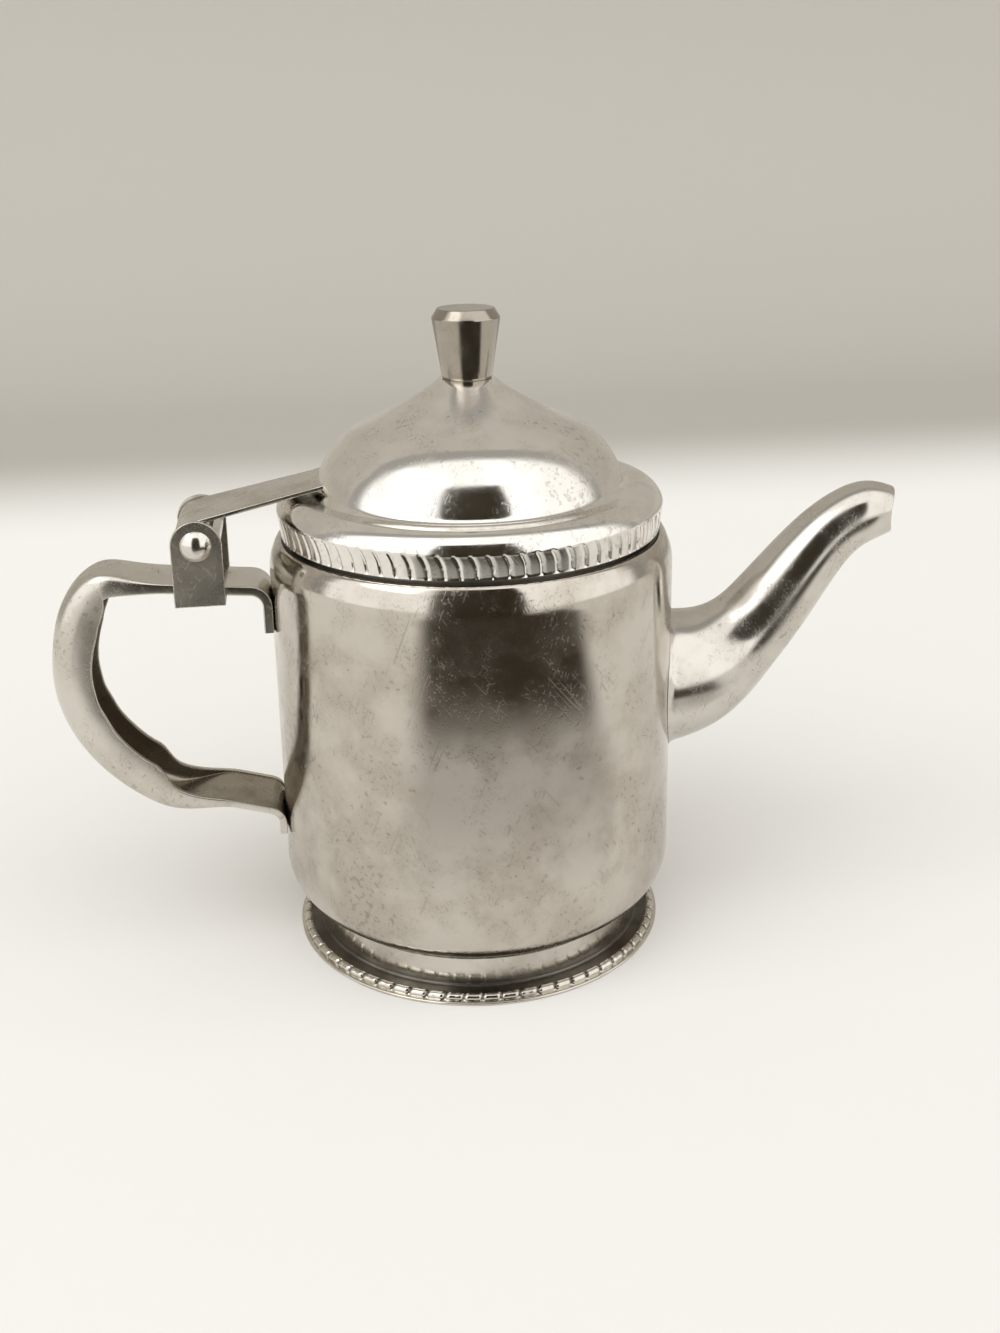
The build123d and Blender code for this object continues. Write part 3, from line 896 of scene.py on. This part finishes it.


# Worn polished steel: cloudy polish, stains and pits, and fine scratches every way. The two colours
# are the clean metal and its stain. The last argument gives a wire of where painted shade goes.
def wornSteel(name, light, stain, rough, stained=0.4, scratched=1.0, pitted=0.3, paintedShade=None):
    material = bpy.data.materials.new(name)
    shop = Shop(material)
    place = shop.place()
    haze = shop.noise(place, wear["hazeScale"], detail=3.0, coarse=0.55)
    mottle = shop.noise(place, wear["mottleScale"], detail=4.0, coarse=0.6)
    grain = shop.noise(place, wear["grainScale"], detail=2.0, coarse=0.6)
    pits = shop.noise(place, wear["pitScale"], detail=1.0, coarse=0.4)
    lines = None
    for turn, along, across, rare in wear["lines"]:
        stretched = shop.add(
            "Mapping", {"vector_type": "TEXTURE"},
            {"Vector": place, "Rotation": turn, "Scale": (1 / along, 1 / across, 1 / across)},
        )
        line = shop.noise(stretched, 1.0, detail=0.0).between(rare, rare + wear["lineEdge"])
        lines = line if lines is None else lines.most(line)
    scratch = lines * mottle.between(*wear["scratches"]) * scratched
    pit = (pits * haze).between(*wear["pits"]) * pitted
    blotch = (wear["hazeShare"] * haze + (1 - wear["hazeShare"]) * mottle).between(*wear["blotches"])
    colour = shop.mix(blotch * stained, (*light, 1), (*stain, 1))
    colour = shop.mix(scratch * wear["scratchShow"], colour, (*(c * wear["scratchTone"] for c in stain), 1))
    colour = shop.mix(pit, colour, (*(c * wear["pitTone"] for c in stain), 1))
    roughness = rough + wear["hazeRough"] * blotch + wear["mottleRough"] * mottle
    roughness = roughness + wear["scratchRough"] * scratch + wear["pitRough"] * pit
    # Painted shade: darker and rougher where the mask is, uneven with the mottle
    if paintedShade:
        mask = paintedShade(shop, place) * (wear["paintedShadeLeast"] + (1 - wear["paintedShadeLeast"]) * mottle)
        colour = shop.mix(mask, colour, (*wear["paintedShadeColour"], 1))
        roughness = roughness + wear["paintedShadeRough"] * mask
    height = wear["mottleRise"] * mottle + wear["grainRise"] * grain
    height = height - wear["scratchDepth"] * scratch - wear["pitDepth"] * pit
    bump = shop.add(
        "Bump", {}, {"Strength": wear["bump"], "Distance": wear["bumpDistance"], "Height": height}
    )
    shop.feed(
        shop.tree.nodes["Principled BSDF"],
        {"Base Color": colour, "Metallic": 1.0, "Roughness": roughness, "Normal": bump},
    )
    return material


# Painted shade on the flange between the collar and the beads, and in the gaps between the beads: the
# distances from the axis and the heights, in metres, between which it comes and goes
footPaintedShadeBounds = {
    "flangeStart": (0.0300, 0.0302), "flangeEnd": (0.0322, 0.0329), "flangeTop": (0.0019, 0.0026),
    "beadStart": (0.0320, 0.0322), "beadEnd": (0.0335, 0.0338), "beadBottom": (0.0006, 0.0009),
    "gap": (0.06, 0.12), "gapShade": 0.85,
}


# Painted shade in the foot's recesses: darker on the flange and in the gaps between the beads
def footPaintedShade(shop, place):
    x, y, z = (shop.axis(place, name) for name in "XYZ")
    reach = (x * x + y * y).root()
    flange = reach.between(*footPaintedShadeBounds["flangeStart"]) * (1 - reach.between(*footPaintedShadeBounds["flangeEnd"]))
    flange = flange * (1 - z.between(*footPaintedShadeBounds["flangeTop"]))
    # The beads' count round the foot, a whole number at each slanted notch
    slide = 1 / mm * tan(radians(foot["notchSlant"])) * (reach - foot["beadRing"] * mm)
    count = foot["beads"] / (2 * pi) * y.angle(x) + foot["beads"] / (2 * pi * foot["beadRing"]) * slide
    gap = abs((count + 0.5).fraction() - 0.5)
    beads = reach.between(*footPaintedShadeBounds["beadStart"]) * (1 - reach.between(*footPaintedShadeBounds["beadEnd"]))
    beads = beads * z.between(*footPaintedShadeBounds["beadBottom"])
    return flange.most(beads * (1 - gap.between(*footPaintedShadeBounds["gap"])) * footPaintedShadeBounds["gapShade"])


print("mixing the finishes")
warmSteel, warmStain = (0.58, 0.54, 0.48), (0.44, 0.395, 0.335)
looks = {
    "potFinish": {"light": warmSteel, "stain": warmStain, "rough": 0.07, "stained": 0.8},
    # The foot has painted shade on its flange and in the gaps between its beads
    "footFinish": {
        "light": (0.66, 0.63, 0.57), "stain": (0.38, 0.33, 0.27), "rough": 0.10, "stained": 0.5,
        "scratched": 0.3, "paintedShade": footPaintedShade,
    },
    "spoutFinish": {"light": (0.64, 0.61, 0.56), "stain": warmStain, "rough": 0.12},
    "handleFinish": {"light": (0.66, 0.63, 0.57), "stain": warmStain, "rough": 0.15},
    "hingeFinish": {
        "light": (0.62, 0.59, 0.53), "stain": (0.44, 0.395, 0.33), "rough": 0.24, "stained": 0.6,
    },
    "rivetFinish": {
        "light": (0.70, 0.67, 0.62), "stain": (0.45, 0.40, 0.33), "rough": 0.13, "scratched": 0.4,
    },
    "armFinish": {"light": (0.62, 0.59, 0.53), "stain": (0.42, 0.37, 0.30), "rough": 0.18, "stained": 0.6},
    # The lid is the pot's steel made lighter: a painted reflection of the bright band across its dome
    "lidFinish": {"light": (0.82, 0.795, 0.75), "stain": (0.62, 0.58, 0.52), "rough": 0.07, "stained": 0.5},
    # The knob is a browner metal, darkened further as painted shade for the dark reflections round it
    "knobFinish": {
        "light": (0.38, 0.345, 0.295), "stain": (0.27, 0.235, 0.19), "rough": 0.12, "scratched": 0.5,
        "pitted": 0.2,
    },
    "channelFinish": {
        "light": (0.36, 0.32, 0.26), "stain": (0.20, 0.165, 0.12), "rough": 0.22, "stained": 0.8,
    },
    "insideFinish": {"light": (0.45, 0.42, 0.37), "stain": (0.28, 0.25, 0.21), "rough": 0.32, "stained": 0.6},
}
finishes = {name: wornSteel(name, **look) for name, look in looks.items()}
for piece, finish in (
    (potShell, "potFinish"), (footRing, "footFinish"), (spoutTube, "spoutFinish"),
    (handleStrip, "handleFinish"), (hingeStrap, "hingeFinish"), (hingeRivet, "rivetFinish"),
    (lidArm, "armFinish"), (lidShell, "lidFinish"), (lidBezel, "insideFinish"),
    (knobGrip, "knobFinish"), (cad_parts["knob_screw"], "insideFinish"),
):
    piece.data.materials.clear()
    piece.data.materials.append(finishes[finish])

# The inside of the handle's channel is never polished. It is the second half of each section's faces,
# and the last two faces are the strip's ends.
handleStrip.data.materials.append(finishes["channelFinish"])
for face in list(handleStrip.data.polygons)[:-2]:
    if face.index % handle["sectionPoints"] >= handle["sectionPoints"] / 2:
        face.material_index = 1


# Studio: a pale sweep whose paper is painted grey behind the pot as shade, a bright room in front, a
# window, and the dark shapes that the metal mirrors
print("lighting the studio")
studio = {
    "half": 3.0, "bendAt": 0.5, "bend": 0.3, "bendSteps": 24, "wallTop": 2.2,
    # The paper turns to the wall's grey behind the pot: painted shade where less light reaches
    "paper": (0.86, 0.85, 0.83), "wall": (0.44, 0.42, 0.38), "turn": (0.27, 0.42),
    "sweepRough": 0.85, "sweepGloss": 0.1,
    "skyFront": (1.42, 1.41, 1.385), "skyBack": (0.40, 0.385, 0.36), "skyTurn": (0.0, 0.14),
    "lightPlace": (-0.75, -0.45, 1.05), "lightAim": (0, 0, 0.06), "lightSize": (0.7, 0.7),
    "lightLevel": 1.6, "lightColour": (1, 0.995, 0.98),
}


def addStagePiece(name, points, faces, material, seen=True):
    mesh = bpy.data.meshes.new(name)
    mesh.from_pydata(points, [], faces)
    mesh.shade_smooth()
    mesh.materials.append(material)
    piece = bpy.data.objects.new(name, mesh)
    bpy.context.scene.collection.objects.link(piece)
    if not seen:
        piece.visible_camera = piece.visible_shadow = piece.visible_diffuse = False


def makeSweep():
    profile = [(-studio["half"], 0), (studio["bendAt"] / 2, 0), (studio["bendAt"], 0)]
    for k in range(1, studio["bendSteps"] + 1):
        angle = k / studio["bendSteps"] * pi / 2
        profile.append((studio["bendAt"] + studio["bend"] * sin(angle), studio["bend"] * (1 - cos(angle))))
    profile.append((studio["bendAt"] + studio["bend"], studio["wallTop"]))
    points = [(side * studio["half"], y, z) for y, z in profile for side in (-1, 1)]
    faces = [(k, k + 1, k + 3, k + 2) for k in range(0, len(points) - 2, 2)]
    material = bpy.data.materials.new("sweepFinish")
    shop = Shop(material)
    away = shop.axis(shop.place(), "Y")
    # Painted shade: the paper darkens to grey away from the pot
    colour = shop.mix(away.between(*studio["turn"]), (*studio["paper"], 1), (*studio["wall"], 1))
    shop.feed(
        shop.tree.nodes["Principled BSDF"],
        {"Base Color": colour, "Roughness": studio["sweepRough"], "Specular IOR Level": studio["sweepGloss"]},
    )
    addStagePiece("sweep", points, faces, material)


def makeSky():
    world = bpy.data.worlds.new("studio")
    bpy.context.scene.world = world
    shop = Shop(world)
    back = shop.axis(shop.add("TexCoord", output="Generated"), "Y")
    colour = shop.mix(back.between(*studio["skyTurn"]), (*studio["skyFront"], 1), (*studio["skyBack"], 1))
    shop.feed(shop.tree.nodes["Background"], {"Color": colour, "Strength": 1.0})


def makeWindow():
    data = bpy.data.lights.new("window", "AREA")
    data.shape = "RECTANGLE"
    width, height = studio["lightSize"]
    data.size, data.size_y = width, height
    data.energy = studio["lightLevel"] * pi * width * height
    data.color = studio["lightColour"]
    lamp = bpy.data.objects.new("window", data)
    bpy.context.scene.collection.objects.link(lamp)
    place = Vector(studio["lightPlace"])
    way = Vector(studio["lightAim"]) - place
    lamp.matrix_world = Matrix.Translation(place) @ way.to_track_quat("-Z", "Y").to_matrix().to_4x4()


# Dark shapes in front of the pot, seen only in the metal: a shade on the table and one upright
# behind it. Pairs are the places between which an edge fades. The table shade's sides lean, and it
# darkens in two steps away from the pot.
shade = {
    "colour": (0.030, 0.022, 0.010), "half": 0.45, "near": -0.04, "far": -0.45, "top": 0.75,
    "lift": 0.001, "left": (-0.05, 0.0), "leftLean": 0.5, "right": (0.045, 0.095), "rightLean": 0.75,
    "firstStep": (0.06, 0.115), "firstDark": 0.36, "nextStep": (0.13, 0.17), "nextDark": 0.62,
    "uprightMiddle": -0.03, "uprightSide": (0.20, 0.23), "uprightTop": (0.64, 0.68),
}


def makeShades():
    def finish(name, maskOf):
        material = bpy.data.materials.new(name)
        shop = Shop(material)
        place = shop.place()
        mask = maskOf(*(shop.axis(place, axis) for axis in "XYZ"))
        dark = shop.add("Emission", {}, {"Color": (*shade["colour"], 1), "Strength": 1.0})
        clear = shop.add("BsdfTransparent")
        both = shop.add("MixShader", {}, {0: mask, 1: clear, 2: dark})
        shop.tree.links.new(both.socket, shop.tree.nodes["Material Output"].inputs["Surface"])
        return material

    def tableMask(x, y, z):
        away = (x * x + y * y).root()
        left = (x - shade["leftLean"] * y).between(*shade["left"])
        right = 1 - (x + shade["rightLean"] * y).between(*shade["right"])
        near = shade["firstDark"] * away.between(*shade["firstStep"])
        return left * right * (near + shade["nextDark"] * away.between(*shade["nextStep"]))

    def uprightMask(x, y, z):
        side = abs(x - shade["uprightMiddle"]).between(*shade["uprightSide"])
        return (1 - side) * (1 - z.between(*shade["uprightTop"]))

    half, far, low = shade["half"], shade["far"], shade["lift"]
    front = [(-half, far, low), (half, far, low)]
    table = front + [(half, shade["near"], low), (-half, shade["near"], low)]
    upright = front + [(half, far, shade["top"]), (-half, far, shade["top"])]
    for name, points, maskOf in (("tableShade", table, tableMask), ("uprightShade", upright, uprightMask)):
        addStagePiece(name, points, [(0, 1, 2, 3)], finish(name + "Finish", maskOf), seen=False)


makeSweep()
makeSky()
makeWindow()
makeShades()

bpy.context.scene.view_settings.view_transform = "Standard"
